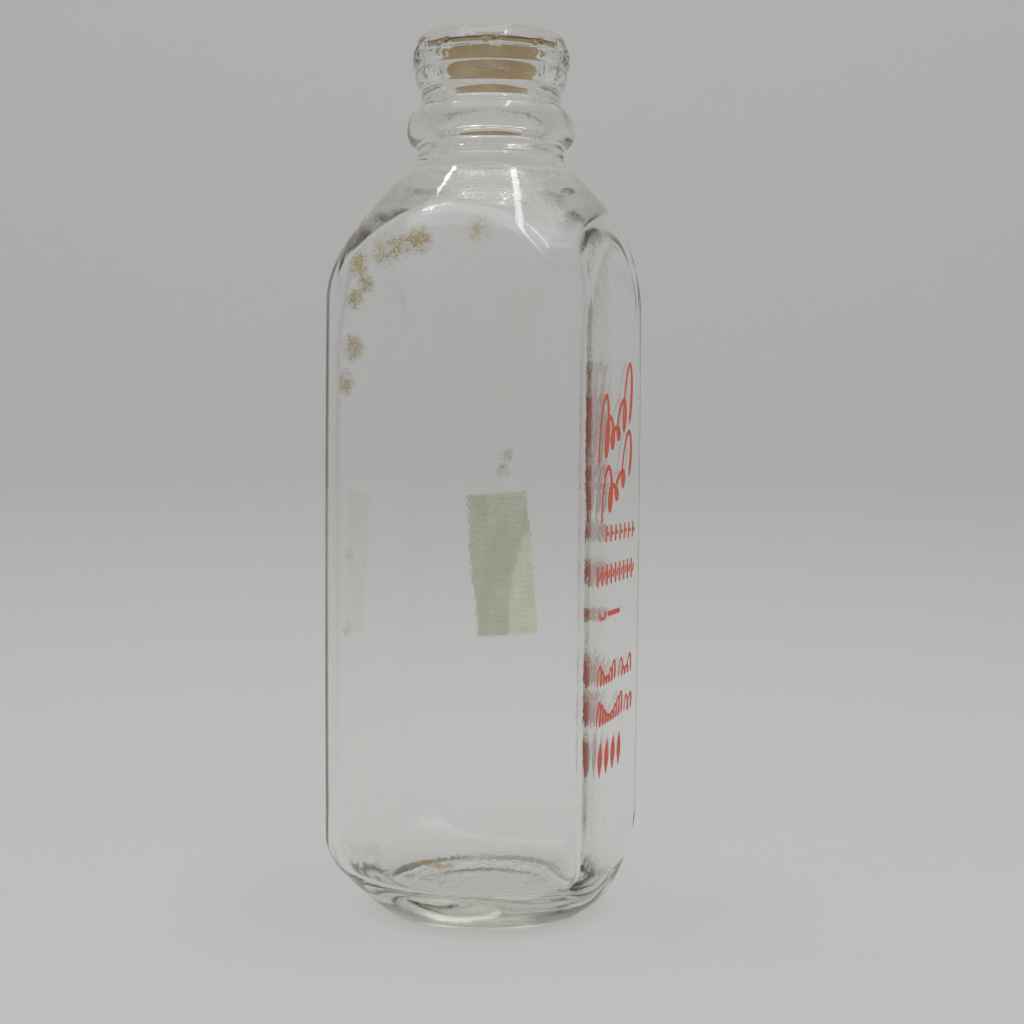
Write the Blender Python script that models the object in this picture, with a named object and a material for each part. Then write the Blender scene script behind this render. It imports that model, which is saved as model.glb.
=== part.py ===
"""Square glass quart milk bottle with a stapled pull-tab cap disc and a paper stock label.

Metres, +Z up. The origin is the centre of the base, on the surface that the bottle stands on.
The four flat faces look along X and Y. The printed face is +X, and the label is on +Y.
The bottle is one turned outline cut by a rounded square: each level is the smaller of the two.
"""

import math

import bmesh
import bpy
from mathutils import Matrix, Vector

MM = 0.001
GAP = 0.3 * MM

# Square body
HEIGHT = 265.0 * MM
HALF_WIDTH = 40.75 * MM
CORNER_RADIUS = 10.0 * MM
WALL = 3.9 * MM
INNER_CORNER = 8.0 * MM
BARREL_MIDDLE = 125.0 * MM
BARREL_REACH = 100.0 * MM
BARREL_LOSS = 0.008
BLEND_WIDTH = 4.0 * MM

# Foot and heel: outside, the outline leaves the foot ring as a power curve
FOOT_INNER = 28.5 * MM
FOOT_OUTER = 30.0 * MM
HEEL_GROWTH = 1.93
HEEL_POWER = 0.81
HEEL_TOP = 38.0 * MM
HEEL_ROUND_TOP = 6.0 * MM
PUSH_UP = 3.5 * MM
FLOOR_HEIGHT = 10.0 * MM

# Shoulder: radius falls with the height above its foot, faster and faster
SHOULDER_FOOT = 185.6 * MM
SHOULDER_RADIUS = 53.4 * MM
SHOULDER_SLOPE = 0.40
SHOULDER_CURL = 7.9
SHOULDER_START = 172.0 * MM
SHOULDER_END = 227.6 * MM

# Collar, carrying ring, neck and lip
COLLAR_RADIUS = 22.3 * MM
COLLAR_BOTTOM = 228.9 * MM
RING_CENTRE = 237.6 * MM
RING_HALF_HEIGHT = 5.3 * MM
RING_RADIUS = 25.5 * MM
NECK_RADIUS = 21.2 * MM
NECK_BOTTOM = 245.2 * MM
NECK_TOP = 249.8 * MM
TIER_RADIUS = 23.3 * MM
TIER_TOP = 255.2 * MM
TIER_NOTCH_RADIUS = 23.0 * MM
LIP_RADIUS = 23.9 * MM
LIP_LAND_OUTER = 21.9 * MM

# Cap seat and throat
THROAT_RADIUS = 16.0 * MM
THROAT_ROUND = 0.6 * MM
SEAT_RADIUS = 19.35 * MM
SEAT_HEIGHT = 260.2 * MM
MOUTH_RADIUS = 19.75 * MM
MOUTH_ROUND = 0.8 * MM

# Inside of the neck and shoulder, downwards: (radius, height) in millimetres. The glass is
# thickest where the shoulder meets the neck.
INNER_SHOULDER = (
    (16.0, 246.0),
    (17.6, 240.2),
    (18.7, 236.0),
    (18.3, 228.0),
    (19.3, 221.8),
    (22.4, 218.6),
    (28.0, 214.2),
    (35.4, 207.8),
    (41.5, 202.2),
    (46.4, 196.5),
    (49.8, 190.0),
    (52.0, 182.0),
    (55.0, 172.0),
)

# Inside of the heel, downwards to the edge of the flat floor: (radius, height) in millimetres
INNER_HEEL = (
    (56.0, 30.0),
    (53.0, 25.0),
    (49.5, 20.6),
    (46.0, 17.0),
    (41.0, 13.2),
    (36.5, 11.2),
    (31.0, 10.2),
    (24.0, 10.0),
)

# Paperboard cap: a standard 1 1/2 inch disc
DISC_RADIUS = 19.05 * MM
DISC_THICKNESS = 1.2 * MM
DISC_BOTTOM = SEAT_HEIGHT + GAP
DISC_TOP = DISC_BOTTOM + DISC_THICKNESS

# Paper tab on the disc, creased beside its staple
TAB_HALF_WIDTH = 7.0 * MM
TAB_THICKNESS = 0.35 * MM
TAB_FOOT_BACK = -4.0 * MM
TAB_CREASE = 2.0 * MM
CREASE_SIDE = 0.3 * MM
TAB_END = 16.2 * MM
TAB_BOTTOM = DISC_TOP + GAP

# Wire staple through the tab's foot and the disc
STAPLE_WIRE = 0.22 * MM
STAPLE_HALF_SPAN = 4.2 * MM
STAPLE_CLINCH = 2.8 * MM
STAPLE_Y = -1.2 * MM
STAPLE_HOLE = STAPLE_WIRE + GAP
STAPLE_CUT_DEPTH = 6.0 * MM

# Paper label on the back face
LABEL_WIDTH = 20.0 * MM
LABEL_HEIGHT = 47.0 * MM
LABEL_THICKNESS = 0.15 * MM
LABEL_CENTRE_X = -8.4 * MM
LABEL_CENTRE_Z = 102.6 * MM
LABEL_TILT = math.radians(5.0)

# Mesh fineness
HALF_QUADRANT_STEPS = 6
CORNER_CROWDING = 1.6
DISC_SEGMENTS = 64
PIN_SEGMENTS = 12

COLOURS = {
    "clear_glass": (0.86, 0.90, 0.87, 1.0),
    "paperboard": (0.62, 0.49, 0.34, 1.0),
    "tab_paper": (0.78, 0.70, 0.56, 1.0),
    "staple_steel": (0.55, 0.55, 0.54, 1.0),
    "label_paper": (0.62, 0.74, 0.58, 1.0),
}


def clear_scene():
    for old in list(bpy.data.objects):
        bpy.data.objects.remove(old)


def make_material(name, roughness, metallic=0.0, transmission=0.0):
    material = bpy.data.materials.new(name)
    material.use_nodes = True
    shader = material.node_tree.nodes["Principled BSDF"]
    shader.inputs["Base Color"].default_value = COLOURS[name]
    shader.inputs["Roughness"].default_value = roughness
    shader.inputs["Metallic"].default_value = metallic
    shader.inputs["Transmission Weight"].default_value = transmission
    return material


def add_object(name, mesh, material):
    mesh.materials.append(material)
    made = bpy.data.objects.new(name, mesh)
    bpy.context.scene.collection.objects.link(made)
    return made


def ring_angles():
    """Angles round the bottle, crowded towards the four corners."""
    angles = []
    for quadrant in range(4):
        for step in range(-HALF_QUADRANT_STEPS, HALF_QUADRANT_STEPS):
            share = abs(step / HALF_QUADRANT_STEPS) ** CORNER_CROWDING
            offset = math.copysign(share * math.pi / 4, step)
            angles.append(quadrant * math.pi / 2 + math.pi / 4 + offset)
    return angles


def rounded_square(angle, half_width, corner):
    """Distance from the axis to a rounded square, in the direction of an angle."""
    along = abs(math.cos(angle))
    across = abs(math.sin(angle))
    flat = half_width / max(along, across)
    centre = half_width - corner
    if min(along, across) * flat <= centre:
        return flat
    half_sum = centre * (along + across)
    return half_sum + math.sqrt(half_sum**2 - 2 * centre**2 + corner**2)


def smooth_minimum(a, b, width):
    blend = min(max(0.5 + 0.5 * (b - a) / width, 0.0), 1.0)
    return b * (1 - blend) + a * blend - width * blend * (1 - blend)


def half_width_at(z):
    return HALF_WIDTH * (1 - BARREL_LOSS * ((z - BARREL_MIDDLE) / BARREL_REACH) ** 2)


def heel_radius(z):
    """Radius of the turned heel, a height z above the foot."""
    return FOOT_OUTER + HEEL_GROWTH * MM * (z / MM) ** HEEL_POWER


def shoulder_radius(z):
    rise = z - SHOULDER_FOOT
    curl = SHOULDER_CURL * rise**2 if rise > 0 else 0.0
    return SHOULDER_RADIUS - SHOULDER_SLOPE * rise - curl


def body_ring(z, radius, inset, corner):
    """One level of the body: the rounded square, no wider than the turned radius."""
    half_width = half_width_at(z) - inset
    ring = []
    for angle in ring_angles():
        square = rounded_square(angle, half_width, corner)
        distance = smooth_minimum(square, radius, BLEND_WIDTH)
        ring.append((distance * math.cos(angle), distance * math.sin(angle), z))
    return ring


def round_ring(z, radius):
    return [(radius * math.cos(a), radius * math.sin(a), z) for a in ring_angles()]


def spread(low, high, count):
    return [low + (high - low) * i / (count - 1) for i in range(count)]


def bulge(z_low, z_high, r_low, r_high, peak, count):
    """Rings of a bulge between two levels, a half ellipse standing on a straight line."""
    rings = []
    for share in spread(0.0, 1.0, count):
        angle = math.pi * share
        z = z_low + (z_high - z_low) * (1 - math.cos(angle)) / 2
        base = r_low + (r_high - r_low) * (1 - math.cos(angle)) / 2
        rings.append((z, base + (peak - max(r_low, r_high)) * math.sin(angle)))
    return rings


def outer_rings():
    """Levels of the outside, from the foot ring up to the lip's land."""
    rings = [round_ring(0.0, FOOT_INNER), round_ring(0.0, FOOT_OUTER)]
    for share in (0.16, 0.5, 1.0):
        z = HEEL_ROUND_TOP * share
        rings.append(round_ring(z, heel_radius(z)))
    for z in spread(HEEL_ROUND_TOP, HEEL_TOP, 9)[1:]:
        rings.append(body_ring(z, heel_radius(z), 0.0, CORNER_RADIUS))
    for z in spread(HEEL_TOP, SHOULDER_START, 4)[1:-1]:
        rings.append(body_ring(z, 2 * HALF_WIDTH, 0.0, CORNER_RADIUS))
    for z in spread(SHOULDER_START, SHOULDER_END, 15):
        rings.append(body_ring(z, shoulder_radius(z), 0.0, CORNER_RADIUS))
    rings.append(round_ring(COLLAR_BOTTOM, COLLAR_RADIUS))
    low, high = RING_CENTRE - RING_HALF_HEIGHT, RING_CENTRE + RING_HALF_HEIGHT
    rings += [round_ring(*p) for p in bulge(low, high, COLLAR_RADIUS, NECK_RADIUS, RING_RADIUS, 9)]
    rings.append(round_ring(NECK_BOTTOM, NECK_RADIUS))
    tier = bulge(NECK_TOP, TIER_TOP, NECK_RADIUS, TIER_NOTCH_RADIUS, TIER_RADIUS, 5)
    rings += [round_ring(*p) for p in tier]
    lip = bulge(TIER_TOP, HEIGHT, TIER_NOTCH_RADIUS, LIP_LAND_OUTER, LIP_RADIUS, 9)
    rings += [round_ring(*p) for p in lip[1:]]
    return rings


def inner_rings():
    """Levels of the inside, from the mouth down to the edge of the inner floor."""
    rings = [
        round_ring(HEIGHT, MOUTH_RADIUS),
        round_ring(HEIGHT - MOUTH_ROUND, SEAT_RADIUS),
        round_ring(SEAT_HEIGHT, SEAT_RADIUS),
        round_ring(SEAT_HEIGHT, THROAT_RADIUS + THROAT_ROUND),
        round_ring(SEAT_HEIGHT - THROAT_ROUND, THROAT_RADIUS),
    ]
    for radius, z in INNER_SHOULDER:
        rings.append(body_ring(z * MM, radius * MM, WALL, INNER_CORNER))
    for z in spread(SHOULDER_START, HEEL_TOP, 4)[1:-1]:
        rings.append(body_ring(z, 2 * HALF_WIDTH, WALL, INNER_CORNER))
    for radius, z in INNER_HEEL:
        rings.append(body_ring(z * MM, radius * MM, WALL, INNER_CORNER))
    return rings


def dome_rings(edge_radius, edge_z, rise, shares):
    """Rings of a shallow dome inside an edge, highest at the middle."""
    return [round_ring(edge_z + rise * (1 - s**2), edge_radius * s) for s in shares]


def loft(levels, first_point, last_point):
    """One closed skin through a stack of rings, with a point closing each end."""
    mesh = bmesh.new()
    rings = [[mesh.verts.new(p) for p in level] for level in levels]
    count = len(rings[0])
    for lower, upper in zip(rings, rings[1:]):
        for i in range(count):
            j = (i + 1) % count
            mesh.faces.new((lower[i], lower[j], upper[j], upper[i]))
    first = mesh.verts.new(first_point)
    last = mesh.verts.new(last_point)
    for i in range(count):
        j = (i + 1) % count
        mesh.faces.new((first, rings[0][j], rings[0][i]))
        mesh.faces.new((last, rings[-1][i], rings[-1][j]))
    bmesh.ops.recalc_face_normals(mesh, faces=mesh.faces)
    return mesh


def finish_mesh(name, mesh, sharp_angle):
    data = bpy.data.meshes.new(name)
    mesh.to_mesh(data)
    mesh.free()
    data.shade_smooth()
    data.set_sharp_from_angle(angle=sharp_angle)
    return data


def make_bottle():
    under = dome_rings(FOOT_INNER, 0.0, PUSH_UP, (0.35, 0.7, 0.9))
    levels = under + outer_rings() + inner_rings()
    mesh = loft(levels, (0, 0, PUSH_UP), (0, 0, FLOOR_HEIGHT))
    data = finish_mesh("glass_bottle", mesh, math.radians(50))
    return add_object("glass_bottle", data, make_material("clear_glass", 0.03, transmission=1.0))


def make_disc_mesh(name, radius, bottom, top):
    mesh = bmesh.new()
    place = Matrix.Translation((0, 0, (bottom + top) / 2))
    bmesh.ops.create_cone(
        mesh,
        cap_ends=True,
        segments=DISC_SEGMENTS,
        radius1=radius,
        radius2=radius,
        depth=top - bottom,
        matrix=place,
    )
    return finish_mesh(name, mesh, math.radians(40))


def staple_hole_cutter():
    """Two round pins that clear the staple's legs."""
    mesh = bmesh.new()
    middle = (DISC_BOTTOM + TAB_BOTTOM) / 2
    for side in (-1, 1):
        bmesh.ops.create_cone(
            mesh,
            cap_ends=True,
            segments=PIN_SEGMENTS,
            radius1=STAPLE_HOLE,
            radius2=STAPLE_HOLE,
            depth=STAPLE_CUT_DEPTH,
            matrix=Matrix.Translation((side * STAPLE_HALF_SPAN, STAPLE_Y, middle)),
        )
    data = bpy.data.meshes.new("staple_holes")
    mesh.to_mesh(data)
    mesh.free()
    cutter = bpy.data.objects.new("staple_holes", data)
    bpy.context.scene.collection.objects.link(cutter)
    cutter.hide_render = True
    cutter.display_type = "WIRE"
    return cutter


def cut(target, cutter):
    modifier = target.modifiers.new("staple_holes", "BOOLEAN")
    modifier.operation = "DIFFERENCE"
    modifier.solver = "EXACT"
    modifier.object = cutter


def make_cap_disc(cutter):
    data = make_disc_mesh("cap_disc", DISC_RADIUS, DISC_BOTTOM, DISC_TOP)
    disc = add_object("cap_disc", data, make_material("paperboard", 0.85))
    cut(disc, cutter)
    return disc


def extruded_outline(name, outline, bottom, thickness):
    """A flat sheet from an outline that runs anticlockwise."""
    mesh = bmesh.new()
    face = mesh.faces.new([mesh.verts.new((x, y, bottom)) for x, y in outline])
    grown = bmesh.ops.extrude_face_region(mesh, geom=[face])
    top = [v for v in grown["geom"] if isinstance(v, bmesh.types.BMVert)]
    bmesh.ops.translate(mesh, verts=top, vec=(0, 0, thickness))
    bmesh.ops.recalc_face_normals(mesh, faces=mesh.faces)
    return finish_mesh(name, mesh, math.radians(40))


def rounded_end(straight_y, centre_y, steps=12):
    """Outline of a strip with a straight end and a half-round end that points along +Y."""
    points = [(-TAB_HALF_WIDTH, straight_y), (TAB_HALF_WIDTH, straight_y)]
    for i in range(steps + 1):
        angle = math.pi * i / steps
        x = TAB_HALF_WIDTH * math.cos(angle)
        points.append((x, centre_y + TAB_HALF_WIDTH * math.sin(angle)))
    return points


def make_tab_foot(cutter, paper):
    """The part of the tab under the staple, which stays flat on the disc."""
    outline = [
        (-TAB_HALF_WIDTH, TAB_FOOT_BACK),
        (TAB_HALF_WIDTH, TAB_FOOT_BACK),
        (TAB_HALF_WIDTH, TAB_CREASE - CREASE_SIDE),
        (-TAB_HALF_WIDTH, TAB_CREASE - CREASE_SIDE),
    ]
    data = extruded_outline("tab_foot", outline, TAB_BOTTOM, TAB_THICKNESS)
    foot = add_object("tab_foot", data, paper)
    cut(foot, cutter)
    return foot


def make_pull_tab(paper):
    """The free end of the tab, with its origin on the crease that it folds up from."""
    crease_z = TAB_BOTTOM + TAB_THICKNESS / 2
    outline = rounded_end(TAB_CREASE + CREASE_SIDE, TAB_END - TAB_HALF_WIDTH)
    data = extruded_outline("pull_tab", outline, TAB_BOTTOM, TAB_THICKNESS)
    data.transform(Matrix.Translation((0, -TAB_CREASE, -crease_z)))
    tab = add_object("pull_tab", data, paper)
    tab.location = (0, TAB_CREASE, crease_z)
    return tab


def make_staple():
    """A bent wire: crown above the tab, two legs through the disc, ends folded in below."""
    low = DISC_BOTTOM - GAP - STAPLE_WIRE
    high = TAB_BOTTOM + TAB_THICKNESS + GAP + STAPLE_WIRE
    half = STAPLE_HALF_SPAN
    end = half - STAPLE_CLINCH
    path = [(-end, low), (-half, low), (-half, high), (half, high), (half, low), (end, low)]
    curve = bpy.data.curves.new("tab_staple", "CURVE")
    curve.dimensions = "3D"
    curve.bevel_depth = STAPLE_WIRE
    curve.bevel_resolution = 2
    curve.use_fill_caps = True
    spline = curve.splines.new("POLY")
    spline.points.add(len(path) - 1)
    for point, (x, z) in zip(spline.points, path):
        point.co = (x, STAPLE_Y, z, 1)
    return add_object("tab_staple", curve, make_material("staple_steel", 0.35, metallic=1.0))


def make_label():
    """A thin paper rectangle standing just off the back face, a little tilted."""
    mesh = bmesh.new()
    bmesh.ops.create_cube(mesh, size=1.0)
    bmesh.ops.scale(mesh, verts=mesh.verts, vec=(LABEL_WIDTH, LABEL_THICKNESS, LABEL_HEIGHT))
    data = finish_mesh("stock_label", mesh, math.radians(30))
    label = add_object("stock_label", data, make_material("label_paper", 0.75))
    label.location = (
        LABEL_CENTRE_X,
        HALF_WIDTH + GAP + LABEL_THICKNESS / 2,
        LABEL_CENTRE_Z,
    )
    label.rotation_euler = (0, -LABEL_TILT, 0)
    return label


def main():
    clear_scene()
    cap = bpy.data.objects.new("cap", None)
    cap.location = Vector((0, 0, DISC_BOTTOM))
    bpy.context.scene.collection.objects.link(cap)
    cutter = staple_hole_cutter()
    paper = make_material("tab_paper", 0.8)
    on_cap = [
        make_cap_disc(cutter),
        make_tab_foot(cutter, paper),
        make_pull_tab(paper),
        make_staple(),
        cutter,
    ]
    make_bottle()
    make_label()
    for piece in on_cap:
        piece.parent = cap
        piece.matrix_parent_inverse = Matrix.Translation(-cap.location)
    bpy.context.view_layer.update()


main()
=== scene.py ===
"""The looks of a square glass milk bottle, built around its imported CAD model.

Metres, +Z up, in the CAD frame: the printed face is +X and the labelled face is +Y.
The glass is one fine skin, inside and out, that stands for the CAD bottle. The label and the
cap's disc are finer copies of their CAD pieces, and the tab and its staple are the CAD pieces.
The fired print and the dried stains are thin pieces of their own.
"""

import math

import bmesh
import bpy
import numpy as np
from mathutils import Matrix, Vector


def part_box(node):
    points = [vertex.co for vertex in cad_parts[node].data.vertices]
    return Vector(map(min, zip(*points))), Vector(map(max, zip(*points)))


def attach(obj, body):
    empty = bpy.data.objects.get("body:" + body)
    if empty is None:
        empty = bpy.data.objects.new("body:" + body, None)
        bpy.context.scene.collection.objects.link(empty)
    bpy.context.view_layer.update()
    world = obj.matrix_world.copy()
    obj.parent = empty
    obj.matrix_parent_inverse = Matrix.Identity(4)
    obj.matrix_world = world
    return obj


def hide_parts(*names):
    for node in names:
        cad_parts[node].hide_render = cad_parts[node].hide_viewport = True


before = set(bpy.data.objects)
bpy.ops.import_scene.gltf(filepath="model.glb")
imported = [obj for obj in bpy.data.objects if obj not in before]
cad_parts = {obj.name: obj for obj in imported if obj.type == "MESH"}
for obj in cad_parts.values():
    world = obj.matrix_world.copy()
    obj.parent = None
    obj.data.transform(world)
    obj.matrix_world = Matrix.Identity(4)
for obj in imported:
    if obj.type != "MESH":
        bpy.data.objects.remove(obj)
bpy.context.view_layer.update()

MM = 0.001

# Body, as in the CAD model. The skin is a hair slimmer, so the print stays in the CAD box.
HALF_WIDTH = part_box("glass_bottle")[1].x - 0.12 * MM
CORNER_RADIUS = 10.0 * MM
WALL = 3.9 * MM
INNER_CORNER = 8.0 * MM
OUTER_SAG = 0.5 * MM
INNER_SAG = -0.6 * MM
BARREL_MIDDLE = 125.0 * MM
BARREL_REACH = 100.0 * MM
BARREL_LOSS = 0.008
OUTER_BLEND = 2.0 * MM
HEEL_BLEND = 5.0 * MM
INNER_BLEND = 5.0 * MM

# Foot, heel and inner floor
FOOT_INNER = 29.0 * MM
FOOT_OUTER = 30.0 * MM
HEEL_GROWTH = 1.93
HEEL_POWER = 0.81
HEEL_TOP = 40.0 * MM
PUSH_UP = 3.5 * MM
FLOOR_HEIGHT = 10.0 * MM

# Shoulder
SHOULDER_FOOT = 185.6 * MM
SHOULDER_RADIUS = 53.4 * MM
SHOULDER_SLOPE = 0.40
SHOULDER_CURL = 7.9
SHOULDER_START = 165.0 * MM
SHOULDER_END = 227.6 * MM

# Marks moulded in the glass
SEAM_ANGLES = (-math.pi / 4, 3 * math.pi / 4)
SEAM_HEIGHT = 0.10 * MM
SEAM_WIDTH = 0.7 * MM
RIPPLE_LENGTH = 2.6 * MM
RIPPLE_HEIGHT = 0.06 * MM
ROSETTES = 10
ROSETTE_START = math.radians(-72.0)
ROSETTE_Z = 258.9 * MM
ROSETTE_PETALS = 5
ROSETTE_REACH = 1.9 * MM
ROSETTE_HEIGHT = 0.35 * MM
BASE_RING = 15.5 * MM
BASE_WAVE = 1.8 * MM
BASE_LOOPS = 11
BASE_RIM = 21.5 * MM
BASE_RELIEF = 0.35 * MM

# Unevenness of the blown glass: (waves round, climb per millimetre, share)
WAVES = ((3, 0.011, 0.9), (7, -0.023, 0.7), (11, 0.017, 0.4), (2, 0.09, 0.4))
OUTER_WAVE = 0.03 * MM
INNER_WAVE = 0.05 * MM

# Fired print on the +X face
PRINT_SUNK = 0.05 * MM
PRINT_RAISED = 0.08 * MM

# Paper label on the back face
LABEL_WIDTH = 20.0 * MM
LABEL_HEIGHT = 47.0 * MM
LABEL_ACROSS = 8.4 * MM
LABEL_Z = 102.6 * MM
LABEL_TILT = math.radians(5.0)
LABEL_WEAR = 0.35 * MM
LABEL_RAISED = 0.16 * MM
LABEL_SUNK = 0.03 * MM
LABEL_COLUMNS = 24
LABEL_ROWS = 56

DISC_SEGMENTS = 128
COLUMNS_PER_HALF_QUADRANT = 36
CORNER_CROWDING = 1.15


def clean_mesh(name, points, faces, sharp_angle=None):
    """A smooth mesh, with edges over the sharp angle left hard."""
    data = bpy.data.meshes.new(name)
    data.from_pydata([tuple(p) for p in points], [], faces)
    data.validate()
    data.shade_smooth()
    if sharp_angle is not None:
        data.set_sharp_from_angle(angle=sharp_angle)
    return data


def add_piece(name, data, material):
    """A new object in the scene, with its material."""
    piece = bpy.data.objects.new(name, data)
    data.materials.append(material)
    bpy.context.scene.collection.objects.link(piece)
    return piece


# ---------------------------------------------------------------- node materials


class Nodes:
    """Short calls for building a material's node tree."""

    def __init__(self, name):
        self.material = bpy.data.materials.new(name)
        self.material.use_nodes = True
        self.tree = self.material.node_tree
        self.shader = self.tree.nodes["Principled BSDF"]
        self.output = self.tree.nodes["Material Output"]

    def add(self, kind, **values):
        made = self.tree.nodes.new(kind)
        for key, value in values.items():
            if hasattr(made, key):
                setattr(made, key, value)
            else:
                made.inputs[key.replace("_", " ")].default_value = value
        return made

    def link(self, source, target):
        self.tree.links.new(source, target)

    def set(self, **values):
        for key, value in values.items():
            self.shader.inputs[key.replace("_", " ")].default_value = value

    def position(self, scale=(1, 1, 1)):
        """Object-space coordinates, in metres, scaled."""
        coordinates = self.add("ShaderNodeTexCoord")
        mapping = self.add("ShaderNodeMapping")
        mapping.inputs["Scale"].default_value = scale
        self.link(coordinates.outputs["Object"], mapping.inputs["Vector"])
        return mapping.outputs["Vector"]

    def noise(self, vector, scale, detail=4.0, roughness=0.5):
        made = self.add("ShaderNodeTexNoise")
        made.inputs["Scale"].default_value = scale
        made.inputs["Detail"].default_value = detail
        made.inputs["Roughness"].default_value = roughness
        self.link(vector, made.inputs["Vector"])
        return made.outputs["Fac"]

    def ramp(self, value, stops):
        """Maps a value through (place, colour) stops."""
        made = self.add("ShaderNodeValToRGB")
        elements = made.color_ramp.elements
        while len(elements) < len(stops):
            elements.new(0.5)
        for element, (place, colour) in zip(elements, stops):
            element.position = place
            element.color = (*colour, 1)
        self.link(value, made.inputs["Fac"])
        return made.outputs["Color"]

    def range(self, value, low, high, to_low, to_high):
        """Maps low..high to to_low..to_high, and stays at the ends beyond them."""
        made = self.add("ShaderNodeMapRange")
        made.inputs["From Min"].default_value = low
        made.inputs["From Max"].default_value = high
        made.inputs["To Min"].default_value = to_low
        made.inputs["To Max"].default_value = to_high
        self.link(value, made.inputs["Value"])
        return made.outputs["Result"]

    def length(self, vector):
        """Distance of a point from the origin."""
        made = self.add("ShaderNodeVectorMath", operation="LENGTH")
        self.link(vector, made.inputs[0])
        return made.outputs["Value"]

    def math(self, operation, a, b):
        made = self.add("ShaderNodeMath", operation=operation)
        for socket, value in zip(made.inputs, (a, b)):
            if isinstance(value, (int, float)):
                socket.default_value = value
            else:
                self.link(value, socket)
        return made.outputs["Value"]

    def mix(self, factor, a, b):
        """Mixes two colours by a factor."""
        made = self.add("ShaderNodeMix", data_type="RGBA")
        pairs = ((made.inputs["Factor"], factor), (made.inputs[6], a), (made.inputs[7], b))
        for socket, value in pairs:
            if isinstance(value, tuple):
                socket.default_value = (*value, 1)
            elif isinstance(value, (int, float)):
                socket.default_value = value
            else:
                self.link(value, socket)
        return made.outputs[2]

    def bump(self, height, strength, distance):
        made = self.add("ShaderNodeBump")
        made.inputs["Strength"].default_value = strength
        made.inputs["Distance"].default_value = distance
        self.link(height, made.inputs["Height"])
        self.link(made.outputs["Normal"], self.shader.inputs["Normal"])


def glass_material():
    """Clear glass with a faint grey-green cast and a very fine surface grain."""
    nodes = Nodes("clear_glass")
    nodes.set(Roughness=0.0, IOR=1.52, Transmission_Weight=1.0, Base_Color=(1, 1, 1, 1))
    place = nodes.position()
    absorb = nodes.add("ShaderNodeVolumeAbsorption")
    absorb.inputs["Color"].default_value = (0.60, 0.64, 0.42, 1)
    absorb.inputs["Density"].default_value = 5.0
    nodes.link(absorb.outputs["Volume"], nodes.output.inputs["Volume"])
    nodes.bump(nodes.noise(place, 900, 2.0), 0.05, 0.0004)
    return nodes.material


def board_material():
    """Aged paperboard: tan and fibrous, blotched, and darkened along its upper edge by painted
    shade.
    """
    nodes = Nodes("paperboard")
    place = nodes.position()
    fibres = nodes.noise(nodes.position((1, 5, 5)), 500, 6.0, 0.65)
    blotch = nodes.noise(place, 120, 3.0, 0.5)
    tan = nodes.ramp(fibres, [(0.3, (0.38, 0.25, 0.10)), (0.7, (0.56, 0.39, 0.17))])
    colour = nodes.mix(nodes.range(blotch, 0.45, 0.7, 0.0, 0.6), tan, (0.70, 0.54, 0.31))
    apart = nodes.add("ShaderNodeSeparateXYZ")
    nodes.link(place, apart.inputs["Vector"])
    radius = nodes.length(nodes.position((1, 1, 0)))
    # Painted shade: the upper edge of the disc's rim is darkened to near black, standing in for the
    # shadow in the gap at the glass seat.
    shade_at_rim = nodes.range(radius, 18.8 * MM, 19.0 * MM, 0.0, 0.95)
    shade_at_top = nodes.range(apart.outputs["Z"], 260.9 * MM, 261.1 * MM, 0.05, 1.0)
    edge = nodes.math("MULTIPLY", shade_at_rim, shade_at_top)
    nodes.link(nodes.mix(edge, colour, (0.05, 0.035, 0.02)), nodes.shader.inputs["Base Color"])
    nodes.set(Roughness=0.85)
    nodes.bump(fibres, 0.5, 0.0003)
    return nodes.material


def enamel_material():
    """Orange-red fired colour, half matte."""
    nodes = Nodes("enamel_red")
    grain = nodes.noise(nodes.position(), 900, 3.0)
    stops = [(0.3, (0.80, 0.12, 0.06)), (0.7, (0.92, 0.17, 0.09))]
    nodes.link(nodes.ramp(grain, stops), nodes.shader.inputs["Base Color"])
    nodes.set(Roughness=0.5, Specular_IOR_Level=0.15)
    return nodes.material


def label_material():
    """Thin pale green paper, worn, with faint bars where its printing was."""
    nodes = Nodes("label_paper")
    place = nodes.position()
    wear = nodes.noise(nodes.position((1, 1, 0.4)), 260, 5.0, 0.65)
    paper = nodes.ramp(wear, [(0.35, (0.75, 0.82, 0.57)), (0.65, (0.93, 0.98, 0.78))])
    bars = nodes.add("ShaderNodeTexWave", wave_type="BANDS", bands_direction="Z")
    bars.inputs["Scale"].default_value = 160.0
    bars.inputs["Distortion"].default_value = 1.5
    nodes.link(place, bars.inputs["Vector"])
    faint = nodes.range(bars.outputs["Fac"], 0.75, 0.95, 0.0, 0.35)
    nodes.link(nodes.mix(faint, paper, (0.46, 0.54, 0.36)), nodes.shader.inputs["Base Color"])
    nodes.set(Roughness=0.8, Alpha=0.52)
    return nodes.material


def stain_material():
    """Olive-brown specks over a thin haze, fading to nothing at each patch's edge."""
    nodes = Nodes("dried_residue")
    place = nodes.position()
    fine = nodes.noise(place, 2200, 6.0, 0.7)
    broad = nodes.noise(place, 420, 4.0, 0.6)
    stops = [(0.35, (0.22, 0.11, 0.01)), (0.52, (0.40, 0.27, 0.02)), (0.7, (0.52, 0.49, 0.10))]
    nodes.link(nodes.ramp(broad, stops), nodes.shader.inputs["Base Color"])
    fade = nodes.add("ShaderNodeAttribute", attribute_name="fade")
    cover = nodes.math("MULTIPLY", nodes.range(fine, 0.44, 0.56, 0.0, 2.6), fade.outputs["Fac"])
    cover = nodes.math("MULTIPLY", cover, nodes.range(broad, 0.42, 0.56, 0.15, 1.3))
    haze = nodes.math("MULTIPLY", fade.outputs["Fac"], 0.42)
    cover = nodes.math("MAXIMUM", cover, haze)
    nodes.link(nodes.math("MINIMUM", cover, 0.9), nodes.shader.inputs["Alpha"])
    nodes.set(Roughness=0.7)
    return nodes.material


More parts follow.
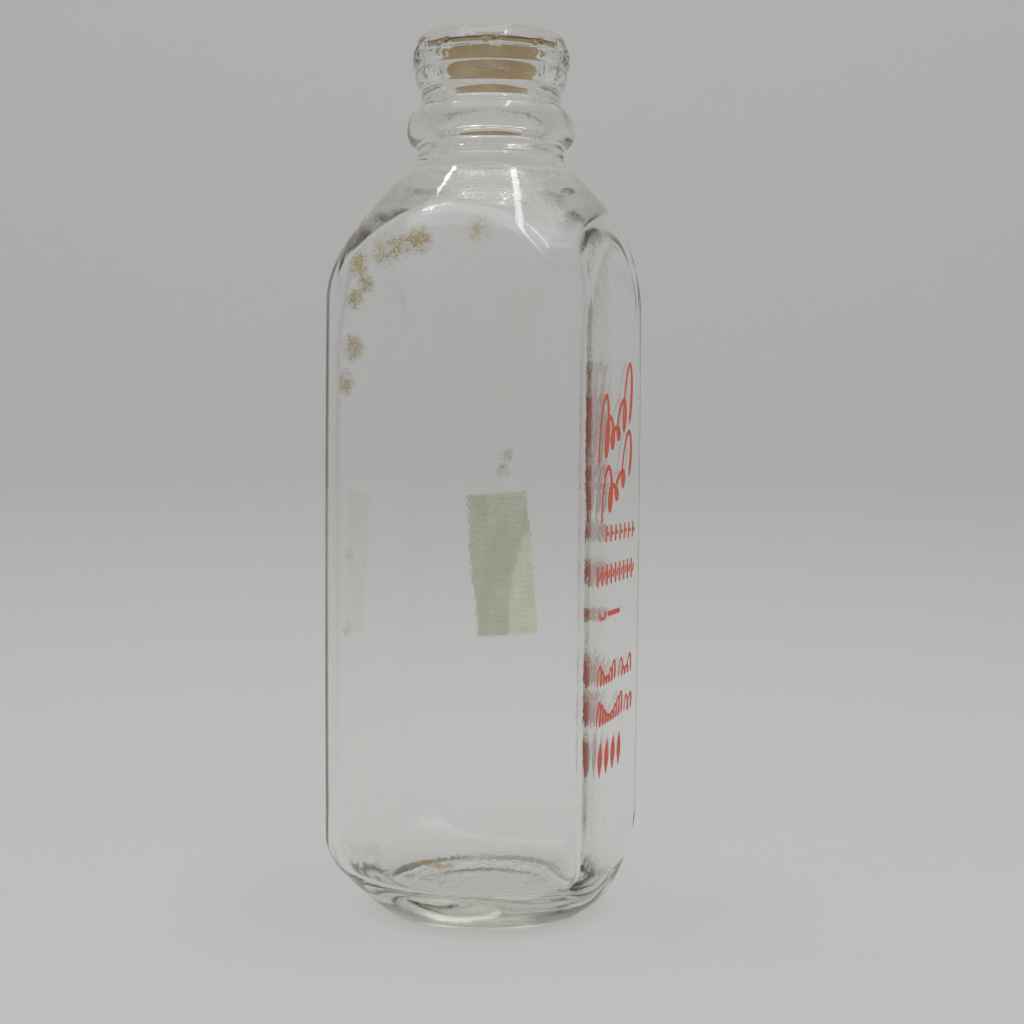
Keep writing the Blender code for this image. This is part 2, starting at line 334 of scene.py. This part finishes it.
# Colour, roughness and metal of the CAD pieces that stay
CAP_FINISHES = {
    "tab_foot": ((0.62, 0.52, 0.38), 0.8, 0.0),
    "pull_tab": ((0.62, 0.52, 0.38), 0.8, 0.0),
    "tab_staple": ((0.6, 0.6, 0.6), 0.35, 1.0),
}


def plain_material(name, colour, roughness, metallic):
    """A colour with a fine grain of slightly darker spots."""
    nodes = Nodes(name)
    grain = nodes.noise(nodes.position(), 700, 4.0)
    dark = tuple(0.8 * c for c in colour)
    nodes.link(nodes.ramp(grain, [(0.3, dark), (0.7, colour)]), nodes.shader.inputs["Base Color"])
    nodes.set(Roughness=roughness, Metallic=metallic)
    nodes.bump(grain, 0.3, 0.0002)
    return nodes.material


# ---------------------------------------------------------------- glass skin


def column_angles():
    """Angles round the bottle, a little crowded at the four corners."""
    steps = np.arange(-COLUMNS_PER_HALF_QUADRANT, COLUMNS_PER_HALF_QUADRANT)
    share = np.abs(steps / COLUMNS_PER_HALF_QUADRANT) ** CORNER_CROWDING
    offsets = np.sign(steps) * share * math.pi / 4
    quadrants = np.arange(4)[:, None] * math.pi / 2 + math.pi / 4
    return (quadrants + offsets[None, :]).ravel()


def rounded_square(angles, half_width, corner):
    """Distance from the axis to a rounded square, in the direction of each angle."""
    along = np.abs(np.cos(angles))
    across = np.abs(np.sin(angles))
    flat = half_width / np.maximum(along, across)
    centre = half_width - corner
    half_sum = centre * (along + across)
    inside = np.maximum(half_sum**2 - 2 * centre**2 + corner**2, 0)
    rounded = half_sum + np.sqrt(inside)
    on_flat = np.minimum(along, across) * flat <= centre
    return np.where(on_flat, flat, rounded)


def bowed_square(angles, half_width, corner, sag):
    """A rounded square whose faces bow out, so that they fall away by sag at the corners."""
    slope = np.minimum(np.abs(np.cos(angles)), np.abs(np.sin(angles)))
    slope = slope / np.maximum(np.abs(np.cos(angles)), np.abs(np.sin(angles)))
    return rounded_square(angles, half_width, corner) - sag * slope**2


def smooth_minimum(a, b, width):
    """The smaller of two values, rounded off where they are less than a width apart."""
    blend = np.clip(0.5 + 0.5 * (b - a) / width, 0, 1)
    return b * (1 - blend) + a * blend - width * blend * (1 - blend)


def half_width_at(z):
    """Half the body's width at a height: widest at the middle, as a barrel is."""
    return HALF_WIDTH * (1 - BARREL_LOSS * ((z - BARREL_MIDDLE) / BARREL_REACH) ** 2)


def outer_blend(z):
    """How softly the turned outline meets the square: softest at the heel."""
    return OUTER_BLEND if z > HEEL_TOP else HEEL_BLEND


def inner_blend(_z):
    """How softly the turned outline meets the square inside, the same all the way up."""
    return INNER_BLEND


def heel_radius(z):
    """Radius of the turned heel, which grows quickly above the foot and then more slowly."""
    return FOOT_OUTER + HEEL_GROWTH * MM * (z / MM) ** HEEL_POWER


def shoulder_radius(z):
    """Radius of the turned shoulder, a slope that curls in faster towards the neck."""
    rise = z - SHOULDER_FOOT
    return SHOULDER_RADIUS - SHOULDER_SLOPE * rise - SHOULDER_CURL * np.maximum(rise, 0) ** 2


def smooth_path(points, spacing):
    """A centripetal curve through given (radius, height) points, in millimetres."""
    points = np.array(points, float) * MM
    ends = (2 * points[0] - points[1], 2 * points[-1] - points[-2])
    padded = np.vstack([ends[0], points, ends[1]])
    path = []
    for p0, p1, p2, p3 in zip(padded, padded[1:], padded[2:], padded[3:]):
        count = max(2, int(np.linalg.norm(p2 - p1) / spacing))
        gaps = [np.linalg.norm(b - a) ** 0.5 for a, b in ((p0, p1), (p1, p2), (p2, p3))]
        knots = np.cumsum([0] + gaps)
        for t in np.linspace(knots[1], knots[2], count, endpoint=False):
            a1 = p0 + (p1 - p0) * (t - knots[0]) / (knots[1] - knots[0])
            a2 = p1 + (p2 - p1) * (t - knots[1]) / (knots[2] - knots[1])
            a3 = p2 + (p3 - p2) * (t - knots[2]) / (knots[3] - knots[2])
            b1 = a1 + (a2 - a1) * (t - knots[0]) / (knots[2] - knots[0])
            b2 = a2 + (a3 - a2) * (t - knots[1]) / (knots[3] - knots[1])
            path.append(b1 + (b2 - b1) * (t - knots[1]) / (knots[2] - knots[1]))
    path.append(points[-1])
    return np.array(path)


def outer_path():
    """The turned outline outside: (radius, height) from the middle of the foot to the lip."""
    radii = np.linspace(0.5 * MM, FOOT_INNER - 1.2 * MM, 48)
    under = np.stack([radii, PUSH_UP * (1 - (radii / FOOT_INNER) ** 2)], 1)
    foot = smooth_path(
        [(28.3, 0.20), (28.9, 0.05), (29.4, 0.0), (30.3, 0.0), (31.0, 0.16), (31.4, 0.55)], 0.3 * MM
    )
    heights = np.linspace(0.9 * MM, HEEL_TOP, 48)
    heel = np.stack([heel_radius(heights), heights], 1)
    heights = np.linspace(HEEL_TOP, SHOULDER_START, 38)[1:-1]
    wide = np.full(len(heights), 2 * HALF_WIDTH)
    body = np.stack([wide, heights], 1)
    heights = np.linspace(SHOULDER_START, SHOULDER_END - 0.8 * MM, 80)
    shoulder = np.stack([shoulder_radius(heights), heights], 1)
    neck = smooth_path(
        [
            (22.75, 227.9), (22.35, 229.2), (22.3, 230.6), (22.35, 231.9), (22.8, 232.7),
            (23.9, 233.2), (24.9, 234.3), (25.45, 236.0), (25.5, 237.6), (25.3, 239.4),
            (24.7, 241.2), (23.7, 242.7), (22.5, 243.8), (21.6, 244.7), (21.25, 245.8),
            (21.2, 247.6), (21.2, 249.2), (21.4, 250.0), (22.1, 250.7), (22.75, 251.8),
            (23.1, 253.2), (23.15, 254.5), (23.0, 255.3), (23.3, 256.0), (23.75, 257.2),
            (23.9, 258.9), (23.82, 260.2), (23.3, 261.9), (22.65, 263.6), (22.35, 264.6),
            (22.2, 264.93), (21.8, 265.0), (20.2, 265.0),
        ],
        0.4 * MM,
    )
    return np.vstack([under, foot, heel, body, shoulder, neck])


def inner_path():
    """The turned outline inside: (radius, height) from the mouth to the middle of the floor."""
    seat = smooth_path([(19.5, 264.98), (19.38, 264.85), (19.35, 264.4), (19.35, 260.45)], 0.5 * MM)
    ledge = smooth_path([(19.3, 260.25), (19.1, 260.2), (16.3, 260.2), (16.08, 260.1)], 0.3 * MM)
    bore = smooth_path(
        [
            (16.0, 259.8), (16.0, 258.4), (16.0, 252.0), (16.1, 248.6), (16.9, 246.6),
            (18.1, 244.6), (18.6, 242.0), (18.7, 238.0), (18.6, 234.0), (18.3, 229.0),
            (18.4, 225.0), (19.3, 221.8), (22.7, 218.5), (28.4, 214.0), (35.5, 207.7),
            (41.4, 201.4), (45.8, 195.3), (49.0, 188.2), (51.1, 180.2), (53.4, 170.8),
            (57.5, 160.0),
        ],
        0.9 * MM,
    )
    heights = np.linspace(SHOULDER_START - 7 * MM, HEEL_TOP, 34)
    body = np.stack([np.full(len(heights), 2 * HALF_WIDTH), heights], 1)
    bowl = smooth_path(
        [
            (62.0, 38.0), (53.0, 25.0), (46.0, 17.0), (41.0, 13.2), (36.5, 11.2), (31.0, 10.2),
            (24.0, 10.0), (12.0, 10.0), (0.5, 10.0),
        ],
        0.7 * MM,
    )
    return np.vstack([seat, ledge, bore, body, bowl])


def skin_points(path, angles, inset, corner, sag, blend):
    """Points of one side of the skin: the turned outline, cut by the rounded square."""
    rows = []
    for radius, z in path:
        square = bowed_square(angles, half_width_at(z) - inset, corner, sag)
        distance = smooth_minimum(square, radius, blend(z))
        heights = np.full(len(angles), z)
        rows.append(np.stack([distance * np.cos(angles), distance * np.sin(angles), heights], 1))
    return np.array(rows)


def near(distance, width):
    """A smooth bump, 1 at no distance and gone by three widths."""
    return np.exp(-((distance / width) ** 2))


def window(z, low, high, soft):
    """1 between two heights and 0 outside them, with soft ends."""
    return 1 / (1 + np.exp((low - z) / soft)) / (1 + np.exp((z - high) / soft))


def turned_by(angle, centre):
    """Difference of two angles, between -pi and pi."""
    return (angle - centre + math.pi) % (2 * math.pi) - math.pi


def add_relief(grid):
    """Marks moulded in the outside: seams, neck ripples, lip rosettes and a base pattern."""
    x, y, z = grid[..., 0], grid[..., 1], grid[..., 2]
    radius = np.hypot(x, y)
    angle = np.arctan2(y, x)
    raised = np.zeros_like(z)
    for seam in SEAM_ANGLES:
        along = turned_by(angle, seam) * radius
        raised += SEAM_HEIGHT * near(along, SEAM_WIDTH) * window(z, 12 * MM, 246 * MM, 2 * MM)
    ripple = np.sin(2 * math.pi * z / RIPPLE_LENGTH + 1.5 * np.sin(2 * angle) + np.sin(5 * angle))
    raised += RIPPLE_HEIGHT * ripple * window(z, 223 * MM, 235 * MM, 1.5 * MM)
    for count in range(ROSETTES):
        centre = ROSETTE_START + 2 * math.pi * count / ROSETTES
        across = turned_by(angle, centre) * radius
        up = z - ROSETTE_Z
        distance = np.hypot(across, up)
        petals = 0.5 + 0.5 * np.cos(ROSETTE_PETALS * np.arctan2(up, across))
        ring = near(distance - ROSETTE_REACH, 0.75 * MM) * petals
        raised += ROSETTE_HEIGHT * (ring + near(distance, 0.6 * MM)) * (radius > 20 * MM)
    grid[..., 0] += raised * x / radius
    grid[..., 1] += raised * y / radius
    under = (z < PUSH_UP + MM) & (radius < FOOT_INNER - MM)
    scroll = BASE_RING + BASE_WAVE * np.sin(BASE_LOOPS * angle)
    mark = near(radius - scroll, 0.55 * MM) + near(radius - BASE_RIM, 0.5 * MM)
    grid[..., 2] -= under * BASE_RELIEF * mark


def add_waves(grid, depth):
    """Slow unevenness of blown glass: long vertical waves, and a few across."""
    x, y, z = grid[..., 0], grid[..., 1], grid[..., 2]
    radius = np.hypot(x, y)
    angle = np.arctan2(y, x)
    wave = np.zeros_like(z)
    for number, (turns, climb, share) in enumerate(WAVES):
        wave += share * np.sin(turns * angle + climb * z / MM + 2.1 * number)
    wave *= depth * window(z, 9 * MM, 250 * MM, 3 * MM)
    grid[..., 0] += wave * x / radius
    grid[..., 1] += wave * y / radius


def ring_faces(rows, columns):
    """Quads between rows of points that each run all the way round."""
    faces = []
    for row in range(rows - 1):
        for column in range(columns):
            a = row * columns + column
            b = row * columns + (column + 1) % columns
            faces.append((a, b, b + columns, a + columns))
    return faces


def make_glass():
    """The bottle's whole surface, closed under the base and on the inner floor."""
    angles = column_angles()
    outside = skin_points(outer_path(), angles, 0.0, CORNER_RADIUS, OUTER_SAG, outer_blend)
    inside = skin_points(inner_path(), angles, WALL, INNER_CORNER, INNER_SAG, inner_blend)
    add_waves(outside, OUTER_WAVE)
    add_relief(outside)
    add_waves(inside, INNER_WAVE)
    grid = np.concatenate([outside, inside])
    rows, columns = grid.shape[:2]
    points = grid.reshape(-1, 3).tolist()
    faces = ring_faces(rows, columns)
    points.append((0, 0, PUSH_UP))
    points.append((0, 0, FLOOR_HEIGHT))
    under, floor = len(points) - 2, len(points) - 1
    last = (rows - 1) * columns
    for column in range(columns):
        following = (column + 1) % columns
        faces.append((under, following, column))
        faces.append((floor, last + column, last + following))
    data = clean_mesh("bottle_glass", points, faces)
    glass = add_piece("bottle_glass", data, glass_material())
    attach(glass, "bottle")
    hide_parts("glass_bottle")
    glass.visible_shadow = False
    glass.visible_diffuse = False

# ---------------------------------------------------------------- pieces on the skin

OUTLINE_LOW = 5.0 * MM
OUTLINE_HIGH = 228.0 * MM
FACE_TURNS = {"+X": 0.0, "+Y": math.pi / 2, "-X": math.pi, "-Y": -math.pi / 2}


def outline_radius(path, z):
    """Radius of a turned outline at a height, from the part of it between heel and neck."""
    part = path[(path[:, 1] > OUTLINE_LOW) & (path[:, 1] < OUTLINE_HIGH)]
    order = np.argsort(part[:, 1])
    return np.interp(z, part[order, 1], part[order, 0])


def outer_point(face, across, z, lift):
    """A point on the outside of a face; across runs anticlockwise, seen from above."""
    angle = math.atan2(across, HALF_WIDTH)
    turned = outline_radius(OUTER_OUTLINE, z)
    square = bowed_square(np.array([angle]), half_width_at(z), CORNER_RADIUS, OUTER_SAG)[0]
    distance = smooth_minimum(square, turned, OUTER_BLEND) + lift
    angle += FACE_TURNS[face]
    return Vector((distance * math.cos(angle), distance * math.sin(angle), z))


def inner_point(face, across, z, lift):
    """A point just inside the bottle's inner surface."""
    angle = math.atan2(across, HALF_WIDTH - WALL)
    turned = outline_radius(INNER_OUTLINE, z)
    square = bowed_square(np.array([angle]), half_width_at(z) - WALL, INNER_CORNER, INNER_SAG)[0]
    distance = smooth_minimum(square, turned, INNER_BLEND) - lift
    angle += FACE_TURNS[face]
    return Vector((distance * math.cos(angle), distance * math.sin(angle), z))


class Solid:
    """Points and faces of one mesh, gathered from many small closed shapes."""

    def __init__(self):
        self.points = []
        self.faces = []

    def strip(self, corners):
        """A closed bar through cross-sections of four points each."""
        start = len(self.points)
        for section in corners:
            self.points += section
        for row in range(len(corners) - 1):
            for side in range(4):
                a = start + 4 * row + side
                b = start + 4 * row + (side + 1) % 4
                self.faces.append((a, b, b + 4, a + 4))
        last = start + 4 * (len(corners) - 1)
        self.faces.append((start + 3, start + 2, start + 1, start))
        self.faces.append((last, last + 1, last + 2, last + 3))

    def ribbon(self, face, stroke, low, high):
        """A flat stroke on a face; stroke holds (across, z, half width) along its middle."""
        corners = []
        for index, (across, z, half) in enumerate(stroke):
            before = stroke[max(index - 1, 0)]
            after = stroke[min(index + 1, len(stroke) - 1)]
            run, rise = after[0] - before[0], after[1] - before[1]
            length = math.hypot(run, rise) or 1.0
            side_a, side_z = -rise / length * half, run / length * half
            left, right = (across + side_a, z + side_z), (across - side_a, z - side_z)
            corners.append(
                [
                    outer_point(face, *left, high),
                    outer_point(face, *right, high),
                    outer_point(face, *right, low),
                    outer_point(face, *left, low),
                ]
            )
        self.strip(corners)

    def piece(self, name, material, sharp_angle=math.radians(40)):
        data = clean_mesh(name, self.points, self.faces, sharp_angle=sharp_angle)
        mesh = bmesh.new()
        mesh.from_mesh(data)
        bmesh.ops.recalc_face_normals(mesh, faces=mesh.faces)
        mesh.to_mesh(data)
        mesh.free()
        return add_piece(name, data, material)


def curl_stroke(start, end, loops, reach, height, lean, half):
    """A rising row of leaning loops, thicker on each downstroke."""
    stroke = []
    steps = 26 * loops
    for step in range(steps + 1):
        turn = 2 * math.pi * loops * step / steps
        share = step / steps
        up = height * (0.6 + 0.4 * math.cos(2 * math.pi * share)) * (1 - math.cos(turn)) / 2
        across = start[0] + (end[0] - start[0]) * share - reach * math.sin(turn) + lean * up
        z = start[1] + (end[1] - start[1]) * share + up
        width = half * (0.55 + 0.45 * max(0.0, -math.sin(turn - 0.4)))
        stroke.append((across * MM, z * MM, width * MM))
    return stroke


def straight_stroke(start, end, half, steps=6, pointed=False):
    """A straight bar, or a lozenge when it is pointed at both ends."""
    stroke = []
    for step in range(steps + 1):
        share = step / steps
        width = half * (0.08 + math.sin(math.pi * share)) if pointed else half
        across = start[0] + (end[0] - start[0]) * share
        z = start[1] + (end[1] - start[1]) * share
        stroke.append((across * MM, z * MM, width * MM))
    return stroke


def print_strokes():
    """The fired-on print: two rows of loops, then rows of bars, waves and lozenges."""
    strokes = [
        curl_stroke((-21, 137), (15, 150), 5, 3.0, 20, 0.22, 1.5),
        curl_stroke((-17, 120), (15, 134), 4, 3.2, 16, 0.22, 1.5),
    ]
    for index in range(7):
        across = -12.5 + 5.6 * index
        strokes.append(straight_stroke((across, 113.8), (across + 0.8, 118.6), 0.75))
        strokes.append(straight_stroke((across + 1.6, 116.2), (across + 3.4, 116.2), 0.5))
    for index in range(9):
        across = -21.5 + 5.2 * index
        strokes.append(straight_stroke((across, 101.2), (across, 107.2), 0.8))
        strokes.append(straight_stroke((across + 1.9, 103.2), (across + 3.3, 105.4), 0.65))
    strokes.append(straight_stroke((-9.5, 92.4), (5.0, 92.4), 0.75))
    strokes.append(curl_stroke((-20.0, 91.2), (-12.0, 91.2), 4, 0.4, 2.2, 0.2, 0.6))
    strokes.append(curl_stroke((-20.5, 72.3), (-1.0, 72.3), 6, 1.1, 5.6, 0.25, 0.95))
    strokes.append(curl_stroke((5.0, 72.3), (20.0, 72.3), 4, 1.2, 5.6, 0.25, 0.95))
    strokes.append(curl_stroke((-21.0, 60.5), (8.0, 60.5), 9, 1.1, 6.6, 0.25, 0.95))
    strokes.append(curl_stroke((13.0, 60.5), (21.0, 60.5), 2, 1.4, 6.6, 0.25, 0.95))
    for index in range(4):
        across = -17.5 + 7.6 * index
        strokes.append(straight_stroke((across, 45.0), (across + 1.2, 55.0), 2.2, 10, True))
    return strokes


def make_print():
    """The print as raised strokes, sunk a little in the glass and flat shaded."""
    solid = Solid()
    for stroke in print_strokes():
        solid.ribbon("+X", stroke, -PRINT_SUNK, PRINT_RAISED)
    piece = solid.piece("enamel_print", enamel_material(), sharp_angle=0.0)
    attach(piece, "bottle")


def label_point(share_across, share_up, lift):
    """A point of the label, from its place across and up; the far edge is worn uneven."""
    worn = LABEL_WEAR * share_across * math.sin(9.0 * share_up + 3.0 * share_across)
    across = LABEL_WIDTH * (share_across - 0.5) + worn
    up = LABEL_HEIGHT * (share_up - 0.5)
    place = LABEL_ACROSS + across * math.cos(LABEL_TILT) + up * math.sin(LABEL_TILT)
    z = LABEL_Z + up * math.cos(LABEL_TILT) - across * math.sin(LABEL_TILT)
    return outer_point("+Y", place, z, lift)


def make_label():
    """A worn paper label, a little tilted, stuck to the back face."""
    columns, rows = LABEL_COLUMNS, LABEL_ROWS
    width = columns + 1
    solid = Solid()
    for lift in (LABEL_RAISED, -LABEL_SUNK):
        for row in range(rows + 1):
            for column in range(width):
                solid.points.append(label_point(column / columns, row / rows, lift))
    under = (rows + 1) * width
    for row in range(rows):
        for column in range(columns):
            a = row * width + column
            quad = (a, a + 1, a + 1 + width, a + width)
            solid.faces.append(quad)
            solid.faces.append(tuple(under + corner for corner in reversed(quad)))
    rim = list(range(columns))
    rim += [row * width + columns for row in range(rows)]
    rim += [rows * width + column for column in range(columns, 0, -1)]
    rim += [row * width for row in range(rows, 0, -1)]
    for a, b in zip(rim, rim[1:] + rim[:1]):
        solid.faces.append((b, a, under + a, under + b))
    label = solid.piece("paper_label", label_material())
    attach(label, "bottle")
    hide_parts("stock_label")


def make_cap_disc():
    """The paperboard disc, with softened edges and a slight dish."""
    profile = smooth_path(
        [
            (0.2, 260.42), (6.0, 260.4), (12.0, 260.35), (17.5, 260.3), (18.9, 260.3),
            (19.03, 260.4), (19.05, 260.9), (19.0, 261.35), (18.8, 261.5), (17.5, 261.52),
            (12.0, 261.55), (6.0, 261.6), (0.2, 261.6),
        ],
        0.5 * MM,
    )
    segments = DISC_SEGMENTS
    points = []
    for radius, z in profile:
        for segment in range(segments):
            angle = 2 * math.pi * segment / segments
            points.append((radius * math.cos(angle), radius * math.sin(angle), z))
    faces = ring_faces(len(profile), segments)
    faces.append(tuple(range(segments))[::-1])
    faces.append(tuple((len(profile) - 1) * segments + i for i in range(segments)))
    disc = add_piece("board_disc", clean_mesh("board_disc", points, faces), board_material())
    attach(disc, "cap")
    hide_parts("cap_disc")


# Dried residue, in millimetres: (across, height, reach, strength) inside the near wall,
# and (x, y, reach, strength) on the inner floor
WALL_STAINS = (
    (-28.6, 193.8, 4.4, 1.0), (-25.5, 188.5, 3.2, 1.0), (-29.2, 184.3, 3.8, 0.9),
    (-9.3, 201.0, 5.0, 1.0), (-14.5, 199.5, 4.6, 0.6), (-19.9, 197.8, 5.6, 0.55),
    (-29.8, 170.0, 4.8, 0.8), (-32.8, 160.0, 4.8, 0.8), (8.8, 203.3, 4.4, 0.4),
    (17.8, 139.4, 2.4, 0.7), (16.7, 135.2, 2.4, 0.6), (-30.5, 110.0, 2.0, 0.3),
    (-31.0, 88.0, 2.6, 0.35),
)
FLOOR_STAINS = ((-19.5, 4.3, 5.0, 1.0), (-14.5, 1.5, 4.5, 0.9), (-19.6, -12.1, 3.0, 0.9))
STAIN_LIFT = 0.12 * MM
STAIN_CELLS = 14


def wall_stain_point(across, z):
    """A point of a stain on the inside of the near wall, from millimetres."""
    return inner_point("-Y", across * MM, z * MM, STAIN_LIFT)


def floor_stain_point(x, y):
    """A point of a stain on the inner floor, from millimetres."""
    return Vector((x * MM, y * MM, FLOOR_HEIGHT + STAIN_LIFT))


def make_stains():
    """Dried residue inside the bottle, as thin patches that fade out towards their edges."""
    points, faces, fades = [], [], []
    width = STAIN_CELLS + 1
    patches = [(wall_stain_point, *stain) for stain in WALL_STAINS]
    patches += [(floor_stain_point, *stain) for stain in FLOOR_STAINS]
    for place, first, second, reach, strength in patches:
        start = len(points)
        for row in range(width):
            for column in range(width):
                u, v = 2 * column / STAIN_CELLS - 1, 2 * row / STAIN_CELLS - 1
                points.append(place(first + reach * u, second + reach * v))
                fades.append(max(0.0, 1 - math.hypot(u, v)) * strength)
        for row in range(STAIN_CELLS):
            for column in range(STAIN_CELLS):
                a = start + row * width + column
                faces.append((a, a + 1, a + 1 + width, a + width))
    data = clean_mesh("dried_stains", points, faces)
    fade = data.attributes.new("fade", "FLOAT", "POINT")
    fade.data.foreach_set("value", fades)
    stains = add_piece("dried_stains", data, stain_material())
    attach(stains, "bottle")
    stains.visible_shadow = False


OUTER_OUTLINE = outer_path()
INNER_OUTLINE = inner_path()

# ---------------------------------------------------------------- stage, lights, camera

LIT_POINT = (0.0, 0.0, 0.2)
FLOOR_REACH = 1.6
BEND_START = 0.17
BEND_RADIUS = 0.13
BEND_STEPS = 24
WALL_TOP = 2.0
STAGE_HALF_WIDTH = 1.8
WORLD_GREY = 0.365
CAMERA_AZIMUTH = math.radians(18.09)
CAMERA_DISTANCE = 523.4 * MM
CAMERA_HEIGHT = 143.1 * MM
CAMERA_PITCH = math.radians(-2.354)
CAMERA_YAW = math.radians(0.796)
CAMERA_ROLL = math.radians(0.398)
CAMERA_LENS = 59.77


def make_camera():
    """A camera in front and to the right, a little above the middle and looking slightly down."""
    sine, cosine = math.sin(CAMERA_AZIMUTH), math.cos(CAMERA_AZIMUTH)
    ahead = Vector((-sine, cosine, 0)) * math.cos(CAMERA_PITCH)
    ahead += Vector((0, 0, math.sin(CAMERA_PITCH)))
    right = ahead.cross(Vector((0, 0, 1))).normalized()
    up = right.cross(ahead)
    aimed = ahead * math.cos(CAMERA_YAW) + right * math.sin(CAMERA_YAW)
    right = right * math.cos(CAMERA_YAW) - ahead * math.sin(CAMERA_YAW)
    across = right * math.cos(CAMERA_ROLL) + up * math.sin(CAMERA_ROLL)
    above = up * math.cos(CAMERA_ROLL) - right * math.sin(CAMERA_ROLL)
    data = bpy.data.cameras.new("camera")
    data.lens = CAMERA_LENS
    data.sensor_width = 36.0
    data.clip_start = 0.01
    camera = bpy.data.objects.new("camera", data)
    bpy.context.scene.collection.objects.link(camera)
    turn = Matrix((across, above, -aimed)).transposed().to_4x4()
    place = Vector((CAMERA_DISTANCE * sine, -CAMERA_DISTANCE * cosine, CAMERA_HEIGHT))
    camera.matrix_world = Matrix.Translation(place) @ turn
    bpy.context.scene.camera = camera


def backdrop_material():
    """Pale paper with a painted shadow round the bottle's foot, and clear when it is seen from
    behind.
    """
    nodes = Nodes("backdrop_paper")
    place = nodes.position()
    distance = nodes.length(place)
    # Painted shadow: the paper darkens close round the foot, and more faintly further out, where
    # the glass would cast its shadow.
    painted_foot_shadow = nodes.range(distance, 28 * MM, 42 * MM, 0.45, 0.0)
    wide = nodes.range(distance, 35 * MM, 110 * MM, 0.25, 0.0)
    colour = nodes.mix(wide, (0.75, 0.75, 0.74), (0.60, 0.60, 0.585))
    colour = nodes.mix(painted_foot_shadow, colour, (0.45, 0.45, 0.42))
    nodes.link(colour, nodes.shader.inputs["Base Color"])
    nodes.set(Roughness=0.9)
    nodes.bump(nodes.noise(place, 300, 3.0), 0.2, 0.0003)
    side = nodes.add("ShaderNodeNewGeometry")
    front = nodes.math("SUBTRACT", 1.0, side.outputs["Backfacing"])
    nodes.link(front, nodes.shader.inputs["Alpha"])
    return nodes.material


def make_stage():
    """A pale floor that curves up into a grey backdrop behind the bottle."""
    behind = Vector((-math.sin(CAMERA_AZIMUTH), math.cos(CAMERA_AZIMUTH), 0))
    side = Vector((behind.y, -behind.x, 0))
    profile = [(-FLOOR_REACH, 0.0), (BEND_START, 0.0)]
    for step in range(1, BEND_STEPS + 1):
        angle = math.pi / 2 * step / BEND_STEPS
        rise = BEND_RADIUS * (1 - math.cos(angle))
        profile.append((BEND_START + BEND_RADIUS * math.sin(angle), rise))
    profile.append((BEND_START + BEND_RADIUS, WALL_TOP))
    points = []
    for along, height in profile:
        for across in (-STAGE_HALF_WIDTH, STAGE_HALF_WIDTH):
            points.append(behind * along + side * across + Vector((0, 0, height)))
    faces = []
    for row in range(len(profile) - 1):
        a = 2 * row
        faces.append((a, a + 1, a + 3, a + 2))
    data = clean_mesh("backdrop", points, faces)
    stage = add_piece("backdrop", data, backdrop_material())


def add_tube(name, start, end, width, power):
    """A long thin lamp between two points, facing the bottle's shoulder."""
    start, end = Vector(start), Vector(end)
    middle = (start + end) / 2
    along = (end - start).normalized()
    back = (middle - Vector(LIT_POINT)).normalized()
    back = (back - along * back.dot(along)).normalized()
    data = bpy.data.lights.new(name, "AREA")
    data.shape = "RECTANGLE"
    data.size = (end - start).length
    data.size_y = width
    data.energy = power
    lamp = bpy.data.objects.new(name, data)
    bpy.context.scene.collection.objects.link(lamp)
    turn = Matrix((along, back.cross(along), back)).transposed().to_4x4()
    lamp.matrix_world = Matrix.Translation(middle) @ turn


def make_lights():
    """Grey light all round, a wide ceiling lamp and two thin tubes that streak the shoulder."""
    world = bpy.data.worlds.new("studio")
    bpy.context.scene.world = world
    world.use_nodes = True
    sky = world.node_tree.nodes["Background"]
    sky.inputs["Color"].default_value = (WORLD_GREY, WORLD_GREY, WORLD_GREY, 1)
    add_tube("tube_left", (-0.30, 0.20, 1.05), (-0.40, 0.02, 1.0), 0.03, 0.2)
    add_tube("tube_right", (0.12, 0.25, 1.12), (0.42, -0.44, 1.0), 0.05, 0.7)
    add_tube("ceiling", (-0.8, -0.2, 1.5), (0.8, -0.2, 1.5), 1.6, 8.4)


make_camera()
make_stage()
make_lights()
make_glass()
make_print()
make_label()
make_cap_disc()
make_stains()
for name, finish in CAP_FINISHES.items():
    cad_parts[name].data.materials[0] = plain_material(name, *finish)

# A path crosses many glass surfaces before it leaves the bottle
scene = bpy.context.scene
scene.view_settings.view_transform = "Standard"
scene.cycles.max_bounces = 40
scene.cycles.transmission_bounces = 40
scene.cycles.glossy_bounces = 24
